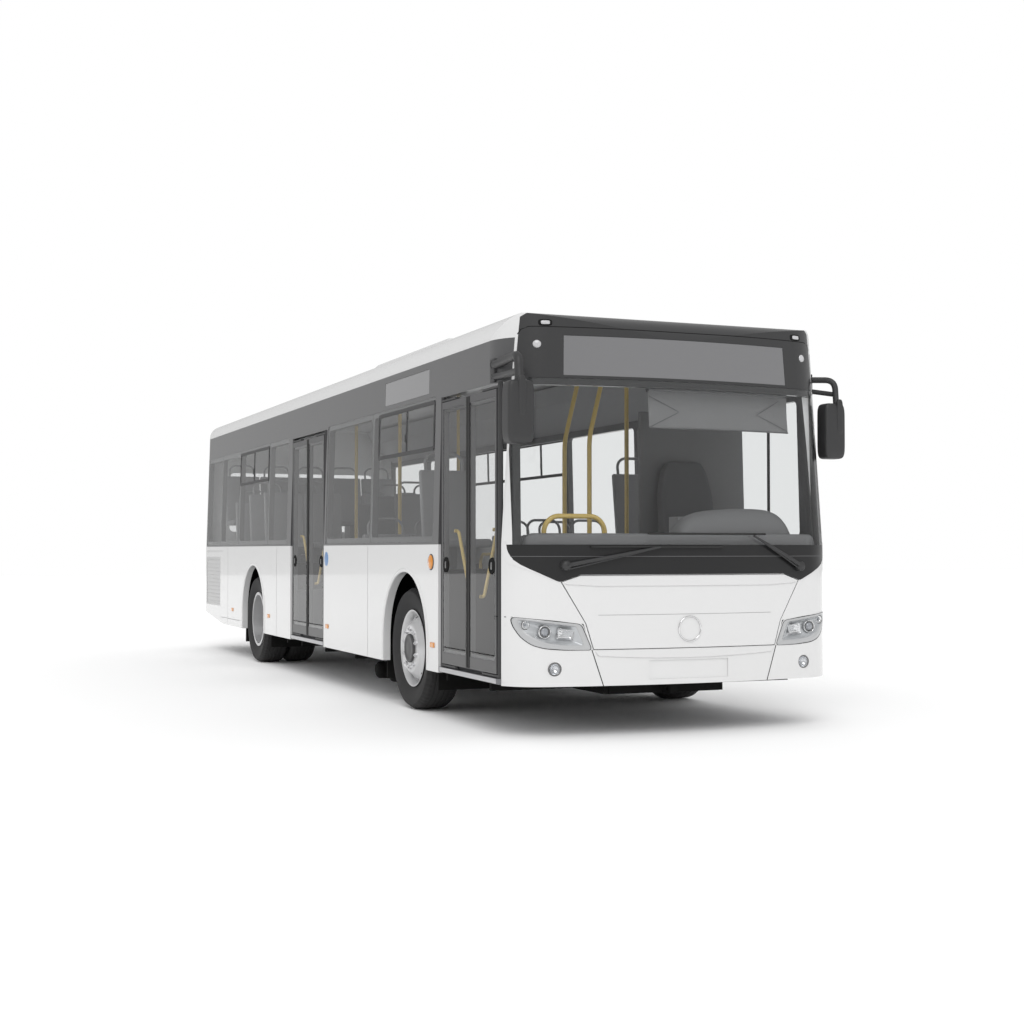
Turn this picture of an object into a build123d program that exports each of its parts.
"""A two-door, two-axle low-entry city bus, modelled panel by panel in millimetres.

Frame: +Z up, the front faces -Y, the driver sits on the +X side and the doors open on the -X side.
The origin is on the ground under the middle of the vehicle's overall box.
"""

from build123d import *
import math
import os

# Body envelope
half_width = 1275.0
nose_y = -5170.0
tail_y = 5430.0
skirt_z = 345.0
waist_z = 1283.0
band_top_z = 2660.0
roof_z = 2900.0
side_lean = 35.0  # how far the side leans in from the waist to the top of the window band
nose_rake = 105.0  # how far the front leans back over the same height
tail_rake = 40.0
nose_bow_radius = 5100.0
nose_corner_radius = 340.0
tail_corner_radius = 170.0
roof_corner_drop = 65.0  # the roof's edge lies this far under its crown
roof_corner_width = 160.0
roof_corner_sagitta = 36.0
roof_edge_overhang = 1.0
roof_seam_drop = 6.0  # the rounding starts this far above the seam
cap_radius = 185.0  # rounding from the front face to the roof
wall = 60.0
roof_wall = 50.0
envelope_top_z = 2980.0

# Running gear
front_axle_y = -2890.0
wheelbase = 5410.0
rear_axle_y = front_axle_y + wheelbase
tyre_radius = 475.0
tyre_width = 275.0
tyre_bead_radius = 284.0
rim_flange_radius = 298.0
rim_width = 232.0
wheel_holes = 10
hand_hole_radius = 20.0
nut_circle_radius = 150.0
front_disc_x = 96.0  # the front wheel's disc stands almost flush with the rim's edge
hub_z = tyre_radius
front_wheel_x = 1090.0
outer_rear_wheel_x = 1098.0
twin_spacing = 308.0
axle_tube_end = 700.0
kingpin_x = 920.0
arch_half_width = 545.0
arch_top_z = 1070.0
housing_inner_x = 500.0
housing_top_z = 1090.0
housing_half_length = 640.0
housing_sheet = 10.0

# Floor levels
floor_z = 385.0
floor_thickness = 45.0
cab_floor_z = 600.0
platform_z = 820.0
platform_front_y = 1500.0
engine_deck_z = 1180.0
engine_deck_y = 4270.0
rail_x = 430.0
rail_width = 70.0
rail_depth = 85.0
tow_lug_thickness = 44.0
tow_bore_radius = 22.0

# Doors
door_top_z = 2362.0
door_recess = 12.0
leaf_thickness = 40.0
leaf_bottom_z = 418.0
leaf_top_z = 2318.0
leaf_border = 44.0
leaf_glass_bottom_z = 520.0
leaf_glass_top_z = 2250.0
glass_thickness = 6.0
glass_recess = 1.0
seat_play = 0.3  # between a fixed piece and the curved face it sits on
cover_skin = 5.0  # the outer skin of a hinged panel, and the whole depth of the panel
cover_depth = 30.0
cover_pan_inset = 26.0
landing_inset = 46.0
pillar_radius = 18.0
swing_gap = 6.0
meeting_gap = 8.0
arm_thickness = 14.0
arm_width = 34.0
arm_gap = 6.0
pin_radius = 10.0
pin_depth = 22.0
pin_play = 0.3
sill_top_z = floor_z + 4.0
front_door = (-4870.0, -3690.0)
mid_door = (-480.0, 800.0)

# Windows, as (front edge, rear edge)
window_bottom_z = 1345.0
window_top_z = 2342.0
window_corner = 40.0
glazing_bottom_z = 1300.0
glazing_top_z = 2385.0
pane_gap = 6.0
pane_lap = 22.0
right_windows = ((-3540, -1985), (-1925, -560), (1000, 1815), (1865, 3300), (3345, 4350), (4395, 5200))
left_windows = ((-4640, -3620), (-3560, -2040), (-1980, -520), (-460, 1000), (1060, 2520), (2580, 3750), (3810, 5200))
front_rear_edge = -4870.0  # where the front corner panels end
rear_wall_y = 5235.0


def block(x0, x1, y0, y1, z0, z1):
    """A box by its low and high sides."""
    return Pos((x0 + x1) / 2, (y0 + y1) / 2, (z0 + z1) / 2) * Box(x1 - x0, y1 - y0, z1 - z0)


def rod(start, end, radius):
    """A round bar between two points."""
    a, b = Vector(*start), Vector(*end)
    plane = Plane(origin=a, z_dir=b - a)
    return extrude(plane * Circle(radius), (b - a).length)


def axle_disc(x0, x1, y, z, radius):
    """A disc or tube blank whose axis runs along X."""
    return Pos((x0 + x1) / 2, y, z) * Rot(0, 90, 0) * Cylinder(radius, abs(x1 - x0))


def mirrored_x(shape):
    return mirror(shape, about=Plane.YZ)


def both_sides(shape):
    """The shape and its mirror image across the bus, as separate solids."""
    return shape.solids() + mirrored_x(shape).solids()


def prism_along_x(points, x0, x1):
    """Extrudes a closed (y, z) outline from x0 to x1."""
    face = make_face(Polyline(*[(0, y, z) for y, z in points], close=True))
    return Pos(x0, 0, 0) * extrude(face, x1 - x0, dir=(1, 0, 0))


def prism_along_y(points, y0, y1):
    """Extrudes a closed (x, z) outline from y0 to y1."""
    face = make_face(Polyline(*[(x, 0, z) for x, z in points], close=True))
    return Pos(0, y0, 0) * extrude(face, y1 - y0, dir=(0, 1, 0))


def rounded_window(y0, y1, z0, z1, radius, x0, x1):
    """A rounded rectangular cutter that runs along X."""
    blank = block(x0, x1, y0, y1, z0, z1)
    return fillet(blank.edges().filter_by(Axis.X), radius)


def side_x(z):
    """Half width of the body at height z."""
    lean = side_lean * (z - waist_z) / (band_top_z - waist_z)
    return half_width - max(0.0, lean)


def nose_at(z):
    """Y of the foremost point of the front face at height z."""
    return nose_y + nose_rake * max(0.0, z - waist_z) / (band_top_z - waist_z)


def plan_face(z, inset):
    """The body's outline in plan at height z, moved inwards by inset; its arcs stay concentric."""
    hw = side_x(z)
    nose = nose_at(z)
    tail = tail_y - tail_rake * max(0.0, z - waist_z) / (band_top_z - waist_z)
    bow_y = nose + nose_bow_radius
    corner_x = hw - nose_corner_radius
    reach = nose_bow_radius - nose_corner_radius
    corner_y = bow_y - math.sqrt(reach**2 - corner_x**2)
    ux, uy = corner_x / reach, (corner_y - bow_y) / reach
    bow_r = nose_bow_radius - inset
    corner_r = nose_corner_radius - inset
    meet = (ux * bow_r, bow_y + uy * bow_r)
    turn = math.atan2(uy, ux) / 2
    corner_mid = (corner_x + corner_r * math.cos(turn), corner_y + corner_r * math.sin(turn))
    tail_r = tail_corner_radius - inset
    tail_cx, tail_cy = hw - tail_corner_radius, tail - tail_corner_radius
    tail_mid = (tail_cx + tail_r * math.sqrt(0.5), tail_cy + tail_r * math.sqrt(0.5))
    right = lambda p: (-p[0], p[1])
    front_start = (hw - inset, corner_y)
    tail_start = (hw - inset, tail_cy)
    tail_end = (tail_cx, tail - inset)
    lines = [
        Line(tail_start, front_start),
        ThreePointArc(front_start, corner_mid, meet),
        ThreePointArc(meet, (0, nose + inset), right(meet)),
        ThreePointArc(right(meet), right(corner_mid), right(front_start)),
        Line(right(front_start), right(tail_start)),
        ThreePointArc(right(tail_start), right(tail_mid), right(tail_end)),
        Line(right(tail_end), tail_end),
        ThreePointArc(tail_end, tail_mid, tail_start),
    ]
    return Pos(0, 0, z) * make_face(Curve() + lines)


def roof_section(inset):
    """Cross-section under the roof line, as a solid along Y; inset thins it for the inner surface."""
    edge_z = band_top_z + roof_seam_drop
    edge = (side_x(edge_z) + roof_edge_overhang - inset, edge_z)
    shoulder = (side_x(band_top_z) - roof_corner_width, roof_z - roof_corner_drop - inset)
    sagitta = roof_corner_sagitta * (1 - inset / 250)
    lines = [
        Line((-1500, 100), (1500, 100)),
        Line((1500, 100), (1500, edge_z)),
        Line((1500, edge_z), edge),
        SagittaArc(edge, shoulder, -sagitta),
        ThreePointArc(shoulder, (0, roof_z - inset), (-shoulder[0], shoulder[1])),
        SagittaArc((-shoulder[0], shoulder[1]), (-edge[0], edge[1]), -sagitta),
        Line((-edge[0], edge[1]), (-1500, edge_z)),
        Line((-1500, edge_z), (-1500, 100)),
    ]
    face = Plane.XZ * make_face(Curve() + lines)
    return Pos(0, 6000, 0) * extrude(face, 12000)


def side_section(inset, bottom):
    """Side view of the body, as a solid along X: the rounded front and rear of the roof and the raised tail."""
    cap_z = roof_z - 75 - cap_radius
    cap_y = nose_at(cap_z) + cap_radius
    r = cap_radius - inset
    lean = math.radians(96)
    arc_end = (cap_y + r * math.cos(lean), cap_z + r * math.sin(lean))
    arc_mid = (cap_y + r * math.cos(math.radians(138)), cap_z + r * math.sin(math.radians(138)))
    tail_r = 130.0 - inset
    tail_c = (tail_y - tail_rake - 130.0, roof_z - 20 - 130.0)
    k = math.sqrt(0.5)
    low = -200.0 if bottom else 0.0
    points_up = [
        (nose_y - 300, skirt_z + low),
        (4150, skirt_z + low),
        (tail_y + 300, skirt_z + 160 + low),
        (tail_y + 300, tail_c[1]),
        (tail_c[0] + tail_r, tail_c[1]),
    ]
    lines = [Line(a, b) for a, b in zip(points_up, points_up[1:])]
    lines += [
        ThreePointArc(points_up[-1], (tail_c[0] + tail_r * k, tail_c[1] + tail_r * k), (tail_c[0], tail_c[1] + tail_r)),
        Line((tail_c[0], tail_c[1] + tail_r), (tail_c[0] - 300, roof_z + 5 - inset)),
        Line((tail_c[0] - 300, roof_z + 5 - inset), (cap_y + 560, roof_z + 5 - inset)),
        Line((cap_y + 560, roof_z + 5 - inset), arc_end),
        ThreePointArc(arc_end, arc_mid, (cap_y - r, cap_z)),
        Line((cap_y - r, cap_z), (nose_y - 300, cap_z)),
        Line((nose_y - 300, cap_z), points_up[0]),
    ]
    face = Plane.YZ * make_face(Curve() + lines)
    return Pos(-1500, 0, 0) * extrude(face, 3000)


def envelope(inset, roof_inset=None, inner=False):
    """The closed body volume with every outside face moved inwards by inset."""
    roof_inset = inset if roof_inset is None else roof_inset
    base_z = 60.0 if inner else 200.0
    lower = extrude(plan_face(waist_z, inset), base_z - waist_z)
    upper = loft([plan_face(waist_z, inset).face(), plan_face(envelope_top_z, inset).face()], ruled=True)
    whole = lower + upper
    return whole & roof_section(roof_inset) & side_section(roof_inset, inner)


OUTER = envelope(0)
INNER = envelope(wall, roof_wall, inner=True)
CABIN = envelope(wall + seat_play, roof_wall + seat_play, inner=True)
SHELL = OUTER - INNER
REBATE = envelope(glass_recess + glass_thickness + seat_play)
GLASS_LAYER = envelope(glass_recess) - envelope(glass_recess + glass_thickness)
REBATE_LAYER = OUTER - REBATE
COVER_BODY = envelope(cover_depth)
LANDING = OUTER - envelope(cover_depth + seat_play)
HATCH_SKIN = OUTER - envelope(cover_skin)
HATCH_PAN = envelope(cover_skin - 0.5) - COVER_BODY
LAMP_LAYER = envelope(3) - envelope(55)

# Front outlines, as (x, z) on the driver's side from the middle outwards; the other side mirrors them
mask_outline = ((780, 1079), (913, 1033), (1215, 1160), (1240, 1233), (1222, 2600), (1150, 2760), (1100, 2880))
screen_outline = ((1203, 1205), (1180, 2388))
screen_flange = 48.0
hatch_outline = ((905, 1030), (742, 757), (690, 588))
hatch_top_z = 1072.0
hatch_gap = 6.0
headlamp_outline = ((762, 755), (1200, 800), (1232, 745), (1160, 690), (1000, 612), (714, 580))
display_outline = ((860, 2404), (850, 2675))
bumper_top_z = 800.0


def front_prism(half_outline, y0=-5600.0, y1=-4885.0):
    """Extrudes an outline given for one side, and its mirror image, through the front of the body."""
    points = list(half_outline) + [(-x, z) for x, z in reversed(half_outline)]
    return prism_along_y(points, y0, y1)


def shrink(half_outline, amount):
    """Moves a two-point windscreen outline inwards on all sides."""
    (x0, z0), (x1, z1) = half_outline
    return ((x0 - amount, z0 + amount), (x1 - amount, z1 - amount))


def hatch_cutter(amount):
    """The hatch's outline through the front wall, grown by amount on every side."""
    (x0, z0), (x1, z1), (x2, z2) = hatch_outline
    outline = (
        (780 + amount, hatch_top_z + amount),
        (x0 + 1.6 * amount, z0 + 0.3 * amount),
        (x1 + 1.15 * amount, z1),
        (x2 + amount, z2 - amount),
    )
    return front_prism(outline)


def lamp_prism(amount=0.0):
    """The cutters for both headlamps."""
    cx = sum(x for x, z in headlamp_outline) / len(headlamp_outline)
    cz = sum(z for x, z in headlamp_outline) / len(headlamp_outline)
    points = []
    for x, z in headlamp_outline:
        reach = math.hypot(x - cx, z - cz)
        k = (reach + amount) / reach
        points.append((cx + (x - cx) * k, cz + (z - cz) * k))
    one = prism_along_y(points, -5600, -4885)
    return one + mirrored_x(one)


def arch_cutter(y, inner_x=1100.0, grow=0.0):
    """A wheel arch with upright sides, cut through both side walls."""
    r = arch_half_width + grow
    centre_z = arch_top_z - arch_half_width
    face = make_face(
        Curve()
        + [
            Line((0, y - r, 0), (0, y - r, centre_z)),
            ThreePointArc((0, y - r, centre_z), (0, y, centre_z + r), (0, y + r, centre_z)),
            Line((0, y + r, centre_z), (0, y + r, 0)),
            Line((0, y + r, 0), (0, y - r, 0)),
        ]
    )
    one = Pos(inner_x, 0, 0) * extrude(face, 300, dir=(1, 0, 0))
    return one + mirrored_x(one)


def door_cutter(door, bottom=0.0):
    return block(-1500, -1000, door[0], door[1], bottom, door_top_z)


def lower_side_panels():
    sides = SHELL & block(-1500, 1500, front_rear_edge, rear_wall_y, 0, waist_z)
    for axle_y in (front_axle_y, rear_axle_y):
        sides -= arch_cutter(axle_y)
    for door in (front_door, mid_door):
        sides -= door_cutter(door)
    sides -= block(-1500, -1250, grille_y0, grille_y1, grille_z0, grille_z1)
    return sides


grille_y0, grille_y1, grille_z0, grille_z1 = 4350.0, 5230.0, 560.0, 1155.0
grille_slats = 12


def side_grille():
    """A framed panel of slanted slats in the kerb side of the engine bay."""
    frame = 22.0
    gap = seat_play
    y0, y1, z0, z1 = grille_y0 + gap, grille_y1 - gap, grille_z0 + gap, grille_z1 - gap
    x0, x1 = -half_width + 2, -half_width + 22
    grille = block(x0, x1, y0, y1, z0, z1) - block(x0 - 5, x1 + 5, y0 + frame, y1 - frame, z0 + frame, z1 - frame)
    pitch = (z1 - z0 - 2 * frame) / grille_slats
    for index in range(grille_slats):
        z = z0 + frame + pitch * (index + 0.5)
        slat = Pos((x0 + x1) / 2, (y0 + y1) / 2, z) * Rot(0, 35, 0) * Box(24, y1 - y0 - 2 * frame + 2, 4)
        grille += slat & block(x0, x1, y0, y1, z0, z1)
    return grille


def window_cutters(grow, radius, z0, z1):
    cutters = []
    for edges, x0, x1 in ((right_windows, -1500, -1000), (left_windows, 1000, 1500)):
        for y0, y1 in edges:
            cutters.append(rounded_window(y0 - grow, y1 + grow, z0 - grow, z1 + grow, radius, x0, x1))
    return cutters


def window_frames():
    """The dark band of both sides, rebated for the panes and cut for the windows and doors."""
    band = SHELL & block(-1500, 1500, front_rear_edge, rear_wall_y, waist_z, band_top_z)
    rebate = [
        block(x0, x1, edges[0][0] - pane_lap - 2, edges[-1][1] + pane_lap + 2, glazing_bottom_z, glazing_top_z)
        for edges, x0, x1 in ((right_windows[:2], -1500, -1000), (right_windows[2:], -1500, -1000), (left_windows, 1000, 1500))
    ]
    for zone in rebate:
        band -= REBATE_LAYER & zone
    for cutter in window_cutters(0, window_corner, window_bottom_z, window_top_z):
        band -= cutter
    for door in (front_door, mid_door):
        band -= door_cutter(door)
    band -= REBATE_LAYER & side_display_zone(2)
    return band


def side_windows():
    """The side panes, one for each opening, and the rear window; a thin gap shows between neighbours."""
    panes = []
    for edges, x0, x1 in ((right_windows[:2], -1500, -1000), (right_windows[2:], -1500, -1000), (left_windows, 1000, 1500)):
        ends = [edges[0][0] - pane_lap - pane_gap / 2]
        ends += [(a[1] + b[0]) / 2 for a, b in zip(edges, edges[1:])]
        ends += [edges[-1][1] + pane_lap + pane_gap / 2]
        for y0, y1 in zip(ends, ends[1:]):
            zone = block(x0, x1, y0 + pane_gap / 2, y1 - pane_gap / 2, glazing_bottom_z + 2, glazing_top_z - 2)
            panes += (GLASS_LAYER & zone).solids()
    panes += (GLASS_LAYER & rear_window_zone(24)).solids()
    return panes


rear_window_half_width = 960.0
rear_window_z = (1480.0, 2240.0)


def rear_window_zone(grow):
    blank = block(
        -rear_window_half_width - grow,
        rear_window_half_width + grow,
        5240,
        5600,
        rear_window_z[0] - grow,
        rear_window_z[1] + grow,
    )
    return fillet(blank.edges().filter_by(Axis.Y), 60)


def roof():
    cap = SHELL & block(-1500, 1500, -5600, 5600, band_top_z, 3100)
    return cap - front_prism(mask_outline)


def front_mask():
    """The dark front surround, rebated and cut for the windscreen and the route display."""
    mask = SHELL & front_prism(mask_outline)
    mask -= REBATE_LAYER & front_prism(screen_outline)
    mask -= front_prism(shrink(screen_outline, screen_flange))
    mask -= REBATE_LAYER & front_prism(display_outline)
    return mask - front_prism(shrink(display_outline, 24))


def windscreen():
    return GLASS_LAYER & front_prism(shrink(screen_outline, 2))


def front_corners():
    """The painted corner panels between the mask and the first door or window."""
    corner = SHELL & block(-1500, 1500, -5600, front_rear_edge, bumper_top_z, band_top_z)
    corner -= front_prism(mask_outline)
    corner -= LANDING & hatch_cutter(hatch_gap)
    corner -= hatch_cutter(-landing_inset)
    return corner - lamp_prism(2)


def front_bumper():
    bumper = SHELL & block(-1500, 1500, -5600, front_rear_edge, 0, bumper_top_z)
    bumper -= LANDING & hatch_cutter(hatch_gap)
    bumper -= hatch_cutter(-landing_inset)
    bumper -= lamp_prism(2)
    plate = REBATE_LAYER & block(-300, 300, -5600, -4900, 381, 507)
    bumper -= plate
    for side in (-1, 1):
        bumper -= Pos(side * 953, -5100, 460) * Rot(90, 0, 0) * Cylinder(46, 400)
    return bumper


def headlamps():
    """A lamp body behind each corner's clear lens, and a fog lamp below it."""
    lamps = (LAMP_LAYER & lamp_prism()).solids()
    for side in (-1, 1):
        fog = Pos(side * 953, -5100, 460) * Rot(90, 0, 0) * Cylinder(45, 400)
        lamps += (LAMP_LAYER & fog).solids()
    return lamps


def front_hatch():
    """The painted panel between the headlamps: a thin skin on a smaller stiffening pan."""
    return (HATCH_SKIN & hatch_cutter(0)) + (HATCH_PAN & hatch_cutter(-cover_pan_inset))


def rear_wall():
    back = SHELL & block(-1500, 1500, rear_wall_y, 5600, 0, band_top_z)
    back -= LANDING & engine_cover_zone(hatch_gap)
    back -= engine_cover_zone(-landing_inset)
    back -= REBATE_LAYER & rear_window_zone(26)
    back -= rear_window_zone(0)
    for side in (-1, 1):
        back -= REBATE_LAYER & tail_lamp_zone(side, 0)
    return back


engine_cover_half = 900.0
engine_cover_z = (600.0, 1260.0)


def engine_cover_zone(grow):
    half = engine_cover_half + grow
    return block(-half, half, 5200, 5600, engine_cover_z[0] - grow, engine_cover_z[1] + grow)


def engine_cover():
    """The louvred panel over the engine at the rear."""
    cover = (OUTER - COVER_BODY) & engine_cover_zone(0)
    for index in range(7):
        z = 800 + index * 50
        cover -= block(-520, 520, 5300, 5600, z, z + 18)
    return cover


def tail_lamp_zone(side, gap):
    x0, x1 = (1030.0 + gap, 1160.0 - gap)
    zone = block(x0, x1, 5240, 5600, 700 + gap, 1220 - gap)
    return zone if side > 0 else mirrored_x(zone)


def tail_lamps():
    lamps = []
    for side in (-1, 1):
        lamps += ((envelope(1) - envelope(7)) & tail_lamp_zone(side, 1)).solids()
    return lamps


def side_display_zone(grow):
    return block(-1500, -1000, -3390 - grow, -2290 + grow, 2420 - grow, 2605 + grow)


def destination_displays():
    """The front route display and the small one above the first side window."""
    front = GLASS_LAYER & front_prism(shrink(display_outline, 2))
    side = GLASS_LAYER & side_display_zone(0)
    return front.solids() + side.solids()


def box_floor():
    """The floor, cab podium, rear platform and engine deck, with the wheel housings cut out of it."""
    t = floor_thickness
    deck = block(-1300, 1300, -5200, platform_front_y, floor_z - t, floor_z)
    deck += block(180, 1300, -5200, -3900, floor_z - 1, cab_floor_z)
    deck += block(-1300, 1300, platform_front_y, engine_deck_y, platform_z - t, platform_z)
    deck += block(-1300, 1300, platform_front_y, platform_front_y + 40, floor_z - t, platform_z)
    deck += block(-330, 330, platform_front_y - 300, platform_front_y + 1, floor_z - 1, (floor_z + platform_z) / 2)
    deck += block(-1300, 1300, engine_deck_y, 5400, engine_deck_z - t, engine_deck_z)
    deck += block(-1300, 1300, engine_deck_y, engine_deck_y + 40, platform_z - t, engine_deck_z)
    deck &= CABIN
    for y in (front_axle_y, rear_axle_y):
        for side in (-1, 1):
            zone = block(housing_inner_x, 1400, y - housing_half_length, y + housing_half_length, 0, 1400)
            deck -= zone if side > 0 else mirrored_x(zone)
    for door in (front_door, mid_door):
        deck += block(-half_width + 4, -half_width + wall + 1, door[0] + 1, door[1] - 1, floor_z - 30, sill_top_z)
    return deck


def wheel_housings():
    """A box of sheet over each pair of wheels, open below and to the arch, with a rubber flap behind."""
    boxes = []
    for y in (front_axle_y, rear_axle_y):
        y0, y1 = y - housing_half_length, y + housing_half_length
        x1 = half_width - wall
        outer = block(housing_inner_x, x1, y0, y1, 200, housing_top_z)
        inner = block(housing_inner_x + housing_sheet, x1 + 10, y0 + housing_sheet, y1 - housing_sheet, 100,
                      housing_top_z - housing_sheet)
        box = outer - inner
        box += block(900, x1, y1 - housing_sheet - 12, y1 - 1, 190, 500)
        if y == front_axle_y:
            box -= block(housing_inner_x - 5, housing_inner_x + housing_sheet + 5, y0 - 5, y1 + 5, 0, floor_z - floor_thickness)
        else:
            box -= block(housing_inner_x - 5, housing_inner_x + housing_sheet + 5, y - 110, y + 110, 0, 600)
        boxes += both_sides(box)
    return boxes


rail_front_y = -4800.0
rail_kick_y = platform_front_y + 50  # where the rails start to rise to the rear platform
rail_rear_y = 5150.0
low_rail_top = floor_z - floor_thickness
high_rail_top = platform_z - floor_thickness


def rails(points):
    """The same (y, z) outline as a rail on each side of the bus."""
    rail = prism_along_x(points, rail_x - rail_width / 2, rail_x + rail_width / 2)
    return rail + mirrored_x(rail)


def cross_members(rows, top_z):
    """Plain beams from rail to rail."""
    beams = [block(-rail_x, rail_x, y - 30, y + 30, top_z - rail_depth, top_z) for y in rows]
    return Part() + beams


def chassis_frame():
    """The low rails under the saloon, their cross members and outriggers, and the front towing eye."""
    top, low = low_rail_top, low_rail_top - rail_depth
    frame = rails(((rail_front_y, top), (rail_kick_y, top), (rail_kick_y, low), (rail_front_y, low)))
    frame += cross_members((-4780, -3700, -2080, -1000, 0, 900), top)
    for y in (-4500, -3620, -2160, -1200, -200, 700, 1300):
        frame += block(-1180, 1180, y - 20, y + 20, top - 60, top)
    for side in (-1, 1):
        plate = block(housing_inner_x + housing_sheet, 660, front_axle_y - 70, front_axle_y + 70, 600, 620)
        frame += plate if side > 0 else mirrored_x(plate)
    half = tow_lug_thickness / 2
    eye_z = top - rail_depth / 2
    lug = block(-half, half, rail_front_y - 130, rail_front_y + 20, eye_z - 42, eye_z + 42)
    frame += lug - axle_disc(-2 * half, 2 * half, rail_front_y - 80, eye_z, tow_bore_radius)
    return frame


def rear_frame():
    """The rails that rise behind the middle door and run on over the rear axle to the engine."""
    y = rail_kick_y + seat_play
    low, high, d = low_rail_top, high_rail_top, rail_depth
    points = ((y, low), (y + 160, high), (rail_rear_y, high), (rail_rear_y, high - d), (y + 190, high - d),
              (y + 30, low - d), (y, low - d))
    return rails(points) + cross_members((1900, 3200, 4200, rail_rear_y - 30), high)


def front_axle():
    """A dropped beam with an eye at each kingpin."""
    half = ((0, 165), (540, 165), (720, 330), (880, 425), (880, 525), (760, 490), (655, 330), (515, 330), (500, 245), (0, 245))
    points = list(half) + [(-x, z) for x, z in reversed(half[1:-1])]
    beam = prism_along_y(points, front_axle_y - 55, front_axle_y + 55)
    for side in (-1, 1):
        eye = Pos(side * kingpin_x, front_axle_y, hub_z) * Cylinder(46, eye_height)
        arm = block(820, kingpin_x, front_axle_y - 35, front_axle_y + 35, hub_z - 50, hub_z + 50)
        beam += eye
        beam += arm if side > 0 else mirrored_x(arm)
    return beam


def rear_axle():
    """The drive axle: a round differential housing on a tube, with spring seats."""
    tube = axle_disc(-axle_tube_end, axle_tube_end, rear_axle_y, hub_z, 68)
    bowl = Pos(0, rear_axle_y, hub_z) * Rot(90, 0, 0) * Cylinder(205, 230)
    bowl = fillet(bowl.edges().filter_by(GeomType.CIRCLE), 60)
    axle = tube + bowl
    for side in (-1, 1):
        seat = block(370, 490, rear_axle_y - 420, rear_axle_y + 420, 400, 452)
        seat += block(380, 480, rear_axle_y - 60, rear_axle_y + 60, 400, 500)
        axle += seat if side > 0 else mirrored_x(seat)
    return axle


def air_springs():
    """Rolling-lobe springs: one over each front beam shoulder, two over each rear seat."""
    high = platform_z - floor_thickness - rail_depth
    places = [(580, front_axle_y, 330, 600, 55)]
    places += [(rail_x, rear_axle_y + d, 452, high, 65) for d in (-340, 340)]
    springs = []
    for x, y, z0, z1, r in places:
        profile = Curve() + [
            Line((0, z0), (r * 0.7, z0)),
            Line((r * 0.7, z0), (r * 0.7, z0 + (z1 - z0) * 0.4)),
            ThreePointArc((r * 0.7, z0 + (z1 - z0) * 0.4), (r, z0 + (z1 - z0) * 0.62), (r * 0.85, z1)),
            Line((r * 0.85, z1), (0, z1)),
            Line((0, z1), (0, z0)),
        ]
        spring = Pos(x, y, 0) * revolve(Plane.XZ * make_face(profile), Axis.Z)
        springs += both_sides(spring)
    return springs


def tanks():
    """The air tanks between the rails and the fuel tank beside them."""
    fuel = block(rail_x + 40, 1150, -1150, -260, 175, 275)
    fuel = fillet(fuel.edges().filter_by(Axis.Y), 40)
    fuel += block(rail_x + 100, rail_x + 160, -1215, -185, 270, 280)
    parts = fuel.solids()
    air = block(-820, -740, -2175, -1185, 268, 280)
    for y in (-1900, -1500):
        tank = Pos(-780, y, 200) * Rot(0, 90, 0) * Cylinder(75, 600)
        air += fillet(tank.edges().filter_by(GeomType.CIRCLE), 50)
    return parts + air.solids()


def engine():
    block_part = block(-395, 395, 4400, 5085, 430, 1100)
    gearbox = block(-220, 220, 3950, 4401, 480, 680)
    return block_part + gearbox


def wheel_profile(points):
    """Revolves an (x, r) outline about the X axis."""
    face = Plane.XY * make_face(Polyline(*[(x, r, 0) for x, r in points], close=True))
    return revolve(face, Axis.X)


def tyre_at(x, y):
    w = tyre_width / 2
    bead = rim_width / 2 - 12
    r0, r1 = tyre_bead_radius, tyre_radius
    lines = [
        Line((-bead, r0), (bead, r0)),
        Line((bead, r0), (bead, r0 + 18)),
        ThreePointArc((bead, r0 + 18), (w, r0 + 0.46 * (r1 - r0)), (w - 16, r1 - 30)),
        ThreePointArc((w - 16, r1 - 30), (w - 22, r1 - 14), (w - 38, r1 - 5)),
        ThreePointArc((w - 38, r1 - 5), (0, r1), (-w + 38, r1 - 5)),
        ThreePointArc((-w + 38, r1 - 5), (-w + 22, r1 - 14), (-w + 16, r1 - 30)),
        ThreePointArc((-w + 16, r1 - 30), (-w, r0 + 0.46 * (r1 - r0)), (-bead, r0 + 18)),
        Line((-bead, r0 + 18), (-bead, r0)),
    ]
    ring = revolve(make_face(Curve() + lines), Axis.X)
    return Pos(x, y, hub_z) * ring


def rim_at(x, y, disc_x, disc_radius, hole_radius):
    """A rim whose disc lies disc_x outboard of its middle, joined to the barrel by a cone; ten hand holes."""
    half = rim_width / 2
    r0 = tyre_bead_radius
    barrel = [
        (-half, rim_flange_radius),
        (-half + 12, rim_flange_radius),
        (-half + 12, r0),
        (half - 12, r0),
        (half - 12, rim_flange_radius),
        (half, rim_flange_radius),
        (half, r0 - 14),
        (-half, r0 - 14),
    ]
    rim = wheel_profile(barrel)
    sign = 1 if disc_x > 0 else -1
    disc = wheel_profile([
        (disc_x - 6, 112),
        (disc_x + 6, 112),
        (disc_x + 6, disc_radius),
        (sign * (half - 40) + 8, r0 - 8),
        (sign * (half - 40) - 8, r0 - 8),
        (disc_x - 6, disc_radius + 6),
    ])
    for index in range(wheel_holes):
        angle = 360 / wheel_holes * index
        disc -= Rot(angle, 0, 0) * Pos(disc_x, 0, hole_radius) * Rot(0, 90, 0) * Cylinder(hand_hole_radius, 80)
    return Pos(x, y, hub_z) * (rim + disc)


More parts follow.
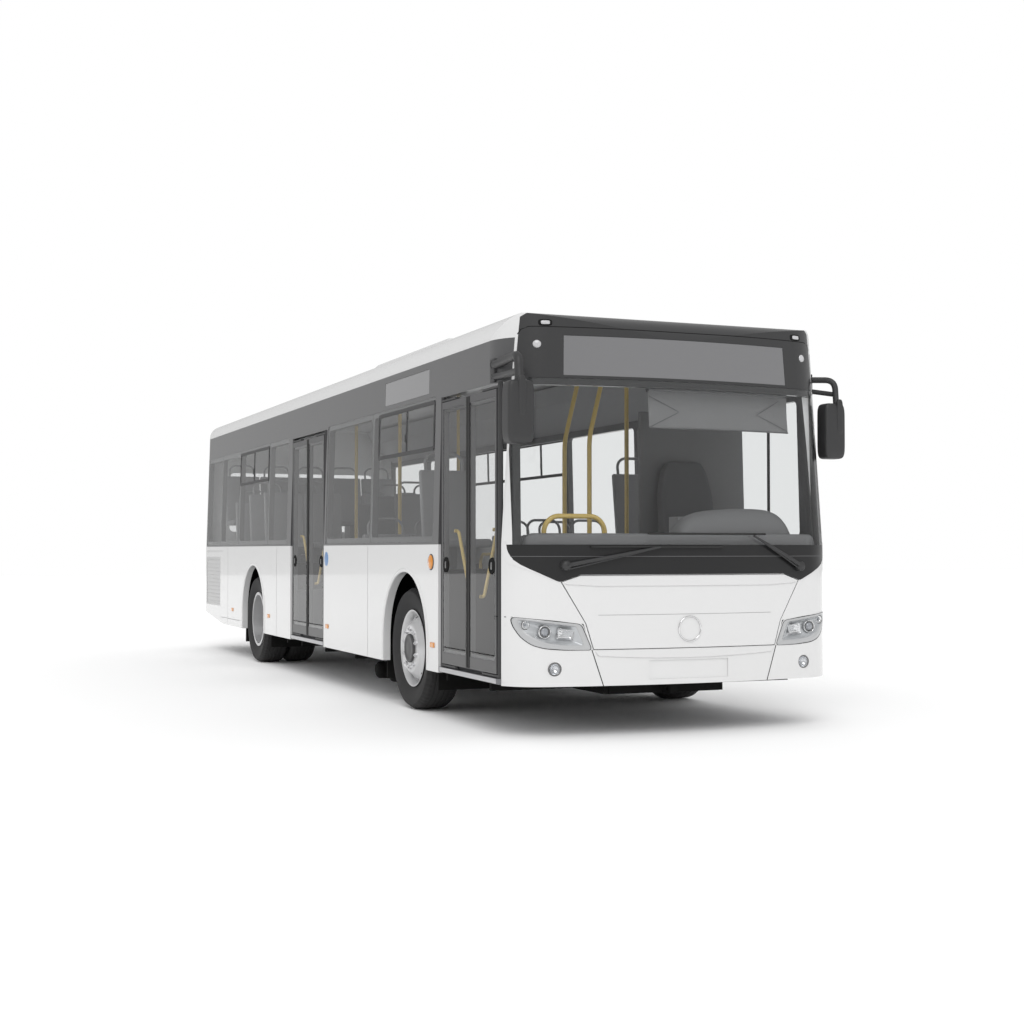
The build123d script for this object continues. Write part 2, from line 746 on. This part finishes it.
def wheel_nuts(face_x, y, length):
    """A ring of nuts standing on a plate, outboard of face_x."""
    plate = axle_disc(face_x - 1, face_x + 5, y, hub_z, nut_circle_radius + 24)
    for index in range(wheel_holes):
        angle = 360 / wheel_holes * (index + 0.5)
        nut = Pos(face_x + length / 2, 0, nut_circle_radius) * Rot(0, 90, 0) * Cylinder(15, length)
        plate += Pos(0, y, hub_z) * Rot(angle, 0, 0) * nut
    return plate


def front_wheel(side):
    """Front rim with its bulged disc, nut ring, hub cap and brake disc."""
    y = front_axle_y
    x = front_wheel_x
    face_x = x + front_disc_x + 6
    wheel = rim_at(x, y, front_disc_x, 205, 243)
    wheel += axle_disc(x - 55, face_x, y, hub_z, 113)
    wheel += wheel_nuts(face_x, y, 34)
    wheel += axle_disc(face_x, face_x + 42, y, hub_z, 92)
    wheel += axle_disc(x - 60, x - 30, y, hub_z, 215)
    wheel -= axle_disc(x - 80, x + 10, y, hub_z, spindle_radius + seat_play)
    return wheel if side > 0 else mirrored_x(wheel)


def rear_wheels(side):
    """Both rear rims of one side on their common hub, which shows at the bottom of the outer rim's dish."""
    y = rear_axle_y
    middle = outer_rear_wheel_x - twin_spacing / 2
    outer_x, inner_x = outer_rear_wheel_x, outer_rear_wheel_x - twin_spacing
    pair = rim_at(outer_x, y, middle - outer_x + 6, 222, 195)
    pair += rim_at(inner_x, y, middle - inner_x - 6, 222, 195)
    pair += axle_disc(axle_tube_end + seat_play, middle + 45, y, hub_z, 118)
    pair += axle_disc(middle, middle + 125, y, hub_z, 84)
    for index in range(wheel_holes):
        angle = 360 / wheel_holes * (index + 0.5)
        nut = Pos(middle + 22, 0, 148) * Rot(0, 90, 0) * Cylinder(15, 40)
        pair += Pos(0, y, hub_z) * Rot(angle, 0, 0) * nut
    return pair if side > 0 else mirrored_x(pair)


def steering_knuckle(side):
    """A fork round the axle eye, the wheel spindle and the steering arm behind it."""
    y, z = front_axle_y, hub_z
    low, high = eye_height / 2 + seat_play, 101.0
    knuckle = rod((kingpin_x, y, z + low), (kingpin_x, y, z + high), 46)
    knuckle += rod((kingpin_x, y, z - high), (kingpin_x, y, z - low), 46)
    knuckle += block(kingpin_x, kingpin_x + 68, y - 40, y + 40, z + low, z + high)
    knuckle += block(kingpin_x, kingpin_x + 68, y - 40, y + 40, z - high, z - low)
    knuckle += block(kingpin_x + 54, kingpin_x + 86, y - 50, y + 50, z - 101, z + 101)
    knuckle += axle_disc(kingpin_x + 80, front_wheel_x + 4, y, z, spindle_radius)
    arm = ((y, z - 101), (y, z - 71), (y + 60, z - 71), (y + steering_arm, arm_z + 15), (y + steering_arm, arm_z - 13),
           (y + 150, arm_z - 13))
    knuckle += prism_along_x(arm, kingpin_x - 16, kingpin_x + 16)
    knuckle += Pos(kingpin_x, y + steering_arm, arm_z) * Cylinder(24, 30)
    return knuckle if side > 0 else mirrored_x(knuckle)


spindle_radius = 54.0
eye_height = 120.0
steering_arm = 250.0
arm_z = 238.0
rod_drop = 15.3  # from the middle of the arm's boss to the top of the rod's end
rod_end_height = 40.0


def track_rod():
    """The rod that ties both steering arms together."""
    y, z = front_axle_y + steering_arm, arm_z - rod_drop - rod_end_height / 2
    bar = rod((-kingpin_x, y, z), (kingpin_x, y, z), 17)
    for side in (-1, 1):
        bar += Pos(side * kingpin_x, y, z) * Cylinder(24, rod_end_height)
    return bar


def door_geometry(door):
    """Leaf half width, arm length and pillar distance from the jamb for a double-leaf door."""
    half = (door[1] - door[0]) / 2
    to_pillar = leaf_thickness / 2 + 5
    edge = pillar_radius + swing_gap
    u = (half - to_pillar - edge - meeting_gap / 2) / 2
    arm = math.hypot(u, leaf_thickness / 2) + edge
    u = (half - to_pillar - (arm - u) - meeting_gap / 2) / 2
    return u, math.hypot(u, leaf_thickness / 2) + edge, to_pillar


leaf_line_x = -(half_width - door_recess - leaf_thickness / 2)


def door_frame(door, which):
    """Pillar Y and the Y of the leaf's pivot; which is +1 for the front leaf, -1 for the rear one."""
    u, arm, inset = door_geometry(door)
    pillar_y = door[0] + inset if which > 0 else door[1] - inset
    return pillar_y, pillar_y + which * arm, u


def door_pillar(door, which):
    pillar_y, pivot_y, u = door_frame(door, which)
    pillar = rod((leaf_line_x, pillar_y, sill_top_z + 0.3), (leaf_line_x, pillar_y, door_top_z - 0.3), pillar_radius)
    for z in (leaf_bottom_z - arm_gap - arm_thickness / 2, leaf_top_z + arm_gap + arm_thickness / 2):
        y0, y1 = min(pillar_y, pivot_y), max(pillar_y, pivot_y)
        pillar += block(leaf_line_x - arm_width / 2, leaf_line_x + arm_width / 2, y0, y1, z - arm_thickness / 2,
                        z + arm_thickness / 2)
        pillar += Pos(leaf_line_x, pivot_y, z) * Cylinder(arm_width / 2, arm_thickness)
    pillar += rod((leaf_line_x, pivot_y, leaf_bottom_z - arm_gap - 1), (leaf_line_x, pivot_y, leaf_bottom_z + pin_depth), pin_radius)
    pillar += rod((leaf_line_x, pivot_y, leaf_top_z - pin_depth), (leaf_line_x, pivot_y, leaf_top_z + arm_gap + 1), pin_radius)
    return pillar


def door_leaf(door, which):
    pillar_y, pivot_y, u = door_frame(door, which)
    t = leaf_thickness / 2
    leaf = block(leaf_line_x - t, leaf_line_x + t, pivot_y - u, pivot_y + u, leaf_bottom_z, leaf_top_z)
    b = leaf_border
    hole = rounded_window(pivot_y - u + b, pivot_y + u - b, leaf_glass_bottom_z, leaf_glass_top_z, 30, leaf_line_x - 100,
                          leaf_line_x + 100)
    rebate = block(leaf_line_x - t, leaf_line_x - t + glass_thickness + 2, pivot_y - u + b - 18, pivot_y + u - b + 18,
                   leaf_glass_bottom_z - 18, leaf_glass_top_z + 18)
    leaf = leaf - hole - rebate
    for z0, z1 in ((leaf_bottom_z - 1, leaf_bottom_z + pin_depth + 1), (leaf_top_z - pin_depth - 1, leaf_top_z + 1)):
        leaf -= rod((leaf_line_x, pivot_y, z0), (leaf_line_x, pivot_y, z1), pin_radius + pin_play)
    return leaf


def door_glass(door, which):
    pillar_y, pivot_y, u = door_frame(door, which)
    t = leaf_thickness / 2
    b = leaf_border - 17
    return block(leaf_line_x - t + 2, leaf_line_x - t + 2 + glass_thickness, pivot_y - u + b, pivot_y + u - b,
                 leaf_glass_bottom_z - 17, leaf_glass_top_z + 17)


def tube_along(points, bend, radius):
    """A round tube along straight runs joined by bends of one radius."""
    path = FilletPolyline(*points, radius=bend)
    return sweep(Plane(origin=path @ 0, z_dir=path % 0) * Circle(radius), path=path)


def seat_shell():
    """A moulded seat, its cushion's top at the origin, with soft edges all round; it faces -Y."""
    points = ((-215, -60), (-215, 10), (180, -8), (262, 565), (318, 565), (225, -60))
    outline = make_face(Polyline(*[(0, y, z) for y, z in points], close=True))
    outline = fillet(outline.vertices(), 24)
    shell_part = Pos(-seat_width / 2, 0, 0) * extrude(outline, seat_width, dir=(1, 0, 0))
    sides = shell_part.faces().sort_by(Axis.X)
    return fillet(sides[0].edges() + sides[-1].edges(), 14)


def seat_handle():
    """The hoop that stands on a passenger seat's back."""
    half = seat_width / 2 - 55
    low, high = (286, 515), (322, 700)
    return tube_along(((-half, *low), (-half, *high), (half, *high), (half, *low)), 85, 12)


def seat(place, rise=430.0, back=None):
    """One seat on a pedestal, standing at place."""
    x, y, z = place
    shell_part = Pos(x, y, z + rise) * (SEAT_SHELL if back is None else back)
    return shell_part + block(x - 40, x + 40, y - 120, y + 120, z, z + rise - 55)


seat_width = 430.0
SEAT_SHELL = seat_shell() + seat_handle()

housing_seat_rise = 230.0
seat_columns = (975.0, 535.0)
left_low_rows = (-1750.0, -1000.0)
right_low_rows = (-1750.0,)
platform_rows = (2080.0, 2830.0, 3580.0)


def passenger_seats():
    seats = []
    for x in seat_columns:
        for y in left_low_rows:
            seats.append(seat((x, y, floor_z)))
        for y in right_low_rows:
            seats.append(seat((-x, y, floor_z)))
        for y in platform_rows:
            for side in (-1, 1):
                on_housing = abs(y - rear_axle_y) < housing_half_length + 130
                base_z, rise = (housing_top_z, housing_seat_rise) if on_housing else (platform_z, 430.0)
                seats.append(seat((side * x, y, base_z), rise))
    for index in range(5):
        seats.append(seat((-890 + 445 * index, 4620, engine_deck_z)))
    for side in (-1, 1):
        seats.append(seat((side * 860, front_axle_y - 60, housing_top_z), housing_seat_rise))
    return seats


def grab_rails():
    """Upright poles, the two bent poles behind the entrance, and the hoops by the entrance and the wheelchair bay."""
    rails = []
    pole_top = roof_z - roof_wall - 50
    for x, y in ((330, -3560), (-560, -560), (560, 900), (-560, 900)):
        rails.append(rod((x, y, floor_z), (x, y, pole_top), rail_tube_radius))
    for y in bent_pole_y:
        route = ((-300, y, floor_z), (-300, y, 2060), (-120, y, pole_top))
        rails.append(tube_along(route, 600, rail_tube_radius))
    for route in (
        ((-950, -4890, floor_z), (-950, -4890, 1470), (-500, -4890, 1470), (-500, -4890, floor_z)),
        ((700, -300, floor_z), (700, -300, 1200), (700, 600, 1200), (700, 600, floor_z)),
    ):
        rails.append(tube_along(route, 110, rail_tube_radius))
    return rails


def driver_seat():
    """The driver's seat: a plain shell with a headrest on two posts and an armrest each side."""
    x, y, z = driver_place
    chair = seat(driver_place, back=seat_shell())
    head = block(x - 120, x + 120, y + 252, y + 322, z + 1040, z + 1210)
    chair += fillet(head.edges(), 24)
    for side in (-1, 1):
        chair += rod((x + side * 60, y + 288, z + 960), (x + side * 60, y + 288, z + 1060), 9)
        arm = block(x + side * 238 - 24, x + side * 238 + 24, y - 90, y + 232, z + 610, z + 660)
        chair += fillet(arm.edges(), 18)
        chair += rod((x + side * 180, y + 215, z + 635), (x + side * 240, y + 215, z + 635), 12)
    return chair


driver_place = (640.0, -4250.0, cab_floor_z)
rail_tube_radius = 17.0
bent_pole_y = (-4220.0, -3780.0)


def dashboard():
    """The desk in front of the driver with a domed instrument hood and the steering column."""
    desk = block(-420, 1150, -5000, -4760, 1080, 1190) & CABIN
    desk += block(150, 1150, -5000, -4720, cab_floor_z, 1081) & CABIN
    hood = Pos(640, -4760, 1185) * scale(Sphere(1), by=(400, 190, 95))
    desk += hood - block(0, 1300, -5300, -4000, 900, 1150)
    desk += rod(column_point(250), column_point(wheel_hub_height / 2 + seat_play), 32)
    return desk


steering_wheel_centre = (640.0, -4588.0, 1281.0)
steering_tilt = 49.0
wheel_hub_height = 26.0


def column_point(distance):
    """A point on the steering column's axis, this far below the middle of the wheel's hub."""
    tilt = math.radians(steering_tilt)
    x, y, z = steering_wheel_centre
    return (x, y - distance * math.sin(tilt), z - distance * math.cos(tilt))


def steering_wheel():
    ring = Torus(215, 15)
    for index in range(3):
        ring += Rot(0, 0, 90 + 120 * index) * Pos(108, 0, 0) * Box(216, 34, 12)
    ring += Cylinder(52, wheel_hub_height)
    return Pos(*steering_wheel_centre) * Rot(-steering_tilt, 0, 0) * ring


def cab_partition():
    """The dark wall behind the driver and the low gate beside the seat."""
    wall_part = block(300, 1300, -3860, -3820, floor_z, 2300) & CABIN
    gate = block(300, 340, -4500, -3860, cab_floor_z, 1330)
    return wall_part + gate


def ticket_machine():
    return block(190, 290, -4660, -4520, cab_floor_z, 1480)


def ceiling_ducts():
    """A duct along each side under the roof."""
    duct = prism_along_y(((1190, 2400), (1190, 2640), (1040, 2790), (820, 2790), (900, 2640)), -3600, 5150)
    return (duct & CABIN).solids() + (mirrored_x(duct) & CABIN).solids()


def roof_air_conditioner():
    """A chamfered pod with a row of slots along each side and three round fan wells on top."""
    x, z = ac_half_width, ac_top_z
    pod = block(-x, x, ac_y[0], ac_y[1], 2700, z)
    pod = chamfer(pod.edges().group_by(Axis.Z)[-1], 60)
    for index in range(ac_slots):
        y = ac_y[0] + 130 + index * (ac_y[1] - ac_y[0] - 260) / (ac_slots - 1)
        for side in (-1, 1):
            pod -= block(side * x - 14, side * x + 14, y - 70, y + 70, z - 104, z - 80)
    for y in (ac_y[0] + 450, (ac_y[0] + ac_y[1]) / 2, ac_y[1] - 450):
        well = Cylinder(215, 24) - Cylinder(62, 30)
        pod -= Pos(0, y, z) * well
    return Pos(0, 0, seat_play) * (pod - OUTER)


ac_half_width = 820.0
ac_y = (-2550.0, -450.0)
ac_top_z = 2985.0
ac_slots = 9


def wipers():
    """Two arms parked along the foot of the windscreen."""
    arms = []
    for x0, x1 in ((-905, -250), (640, -60)):
        y0, y1 = front_face_y(x0, 1130) - 22, front_face_y(x1, 1235) - 30
        arm = rod((x0, y0, 1130), (x1, y1, 1235), 9)
        arm += rod((x0, y0 - 5, 1130), (x0, y0 + 60, 1130), 24)
        arms.append(arm - OUTER)
    return arms


def front_face_y(x, z):
    """Y of the outer face of the bowed front at x and z."""
    nose = nose_at(z)
    return nose + nose_bow_radius - math.sqrt(nose_bow_radius**2 - x**2)


def mirror_head(px, py, head_z):
    """A deep housing, well rounded in front, with a shallow pocket for the glass behind."""
    half_x, half_y, half_z = mirror_size
    head = block(px - half_x, px + half_x, py - half_y, py + half_y, head_z - half_z, head_z + half_z)
    upright = head.edges().filter_by(Axis.Z).group_by(Axis.Y)
    head = fillet(upright[0], 52)
    head = fillet(head.edges().filter_by(Axis.Z).group_by(Axis.Y)[-1], 24)
    ends = head.faces().sort_by(Axis.Z)
    head = fillet(ends[0].edges() + ends[-1].edges(), 20)
    return head - block(px - half_x + 22, px + half_x - 22, py + half_y - 6, py + half_y + 5, head_z - half_z + 22,
                        head_z + half_z - 22)


def mirrors():
    """A bent arm, its stay and a deep head on each front corner."""
    parts = []
    for side, root_y, post, head_z in ((-1, -4690, (1330, -5345), 2080), (1, -4700, (1345, -4905), 2095)):
        px, py = post
        arm = tube_along(
            ((side_x(2455) - 30, root_y, 2462), (px, py, 2452), (px, py, head_z + 150)), 90, 19,
        )
        arm += rod((side_x(2390) - 30, root_y, 2400), (px, py, 2325), 13)
        arm += block(side_x(2400) - 30, side_x(2400) + 14, root_y - 40, root_y + 40, 2372, 2485)
        whole = mirror_head(px, py, head_z) + (arm - OUTER)
        parts.append(whole if side > 0 else mirrored_x(whole))
    return parts


mirror_size = (85.0, 60.0, 185.0)  # half width, half depth and half height of a mirror's head


def write(name, shape):
    solids = shape if isinstance(shape, list) else shape.solids()
    flat = []
    for item in solids:
        flat += item.solids()
    export_step(Compound(children=flat) if len(flat) > 1 else flat[0], f"parts/{name}.step")


os.makedirs("parts", exist_ok=True)
write("chassis_frame", chassis_frame())
write("rear_frame", rear_frame())
write("floor", box_floor())
write("lower_side_panels", lower_side_panels())
write("window_frames", window_frames())
write("roof", roof())
write("front_corners", front_corners())
write("front_mask", front_mask())
write("windscreen", windscreen())
write("front_bumper", front_bumper())
write("rear_wall", rear_wall())
write("side_windows", side_windows())
write("headlamps", headlamps())
write("tail_lamps", tail_lamps())
write("wipers", wipers())
write("mirrors", mirrors())
write("destination_displays", destination_displays())
write("side_grille", side_grille())
write("roof_air_conditioner", roof_air_conditioner())
write("wheel_housings", wheel_housings())
write("front_axle", front_axle())
write("rear_axle", rear_axle())
write("air_springs", air_springs())
write("tanks", tanks())
write("engine", engine())
write("passenger_seats", passenger_seats())
write("grab_rails", grab_rails())
write("driver_seat", driver_seat())
write("dashboard", dashboard())
write("cab_partition", cab_partition())
write("ticket_machine", ticket_machine())
write("ceiling_ducts", ceiling_ducts())
write("steering_wheel", steering_wheel())
write("front_hatch", front_hatch())
write("engine_cover", engine_cover())
write("track_rod", track_rod())
for side, label in ((1, "left"), (-1, "right")):
    write(f"steering_knuckle_{label}", steering_knuckle(side))
    write(f"front_wheel_{label}", front_wheel(side))
    write(f"front_tyre_{label}", tyre_at(side * front_wheel_x, front_axle_y))
    write(f"rear_wheels_{label}", rear_wheels(side))
    twin = [tyre_at(side * x, rear_axle_y) for x in (outer_rear_wheel_x, outer_rear_wheel_x - twin_spacing)]
    write(f"rear_tyres_{label}", twin)
for door, label in ((front_door, "front_door"), (mid_door, "mid_door")):
    for which, place in ((1, "front"), (-1, "rear")):
        write(f"{label}_{place}_pillar", door_pillar(door, which))
        write(f"{label}_{place}_leaf", door_leaf(door, which))
        write(f"{label}_{place}_glass", door_glass(door, which))
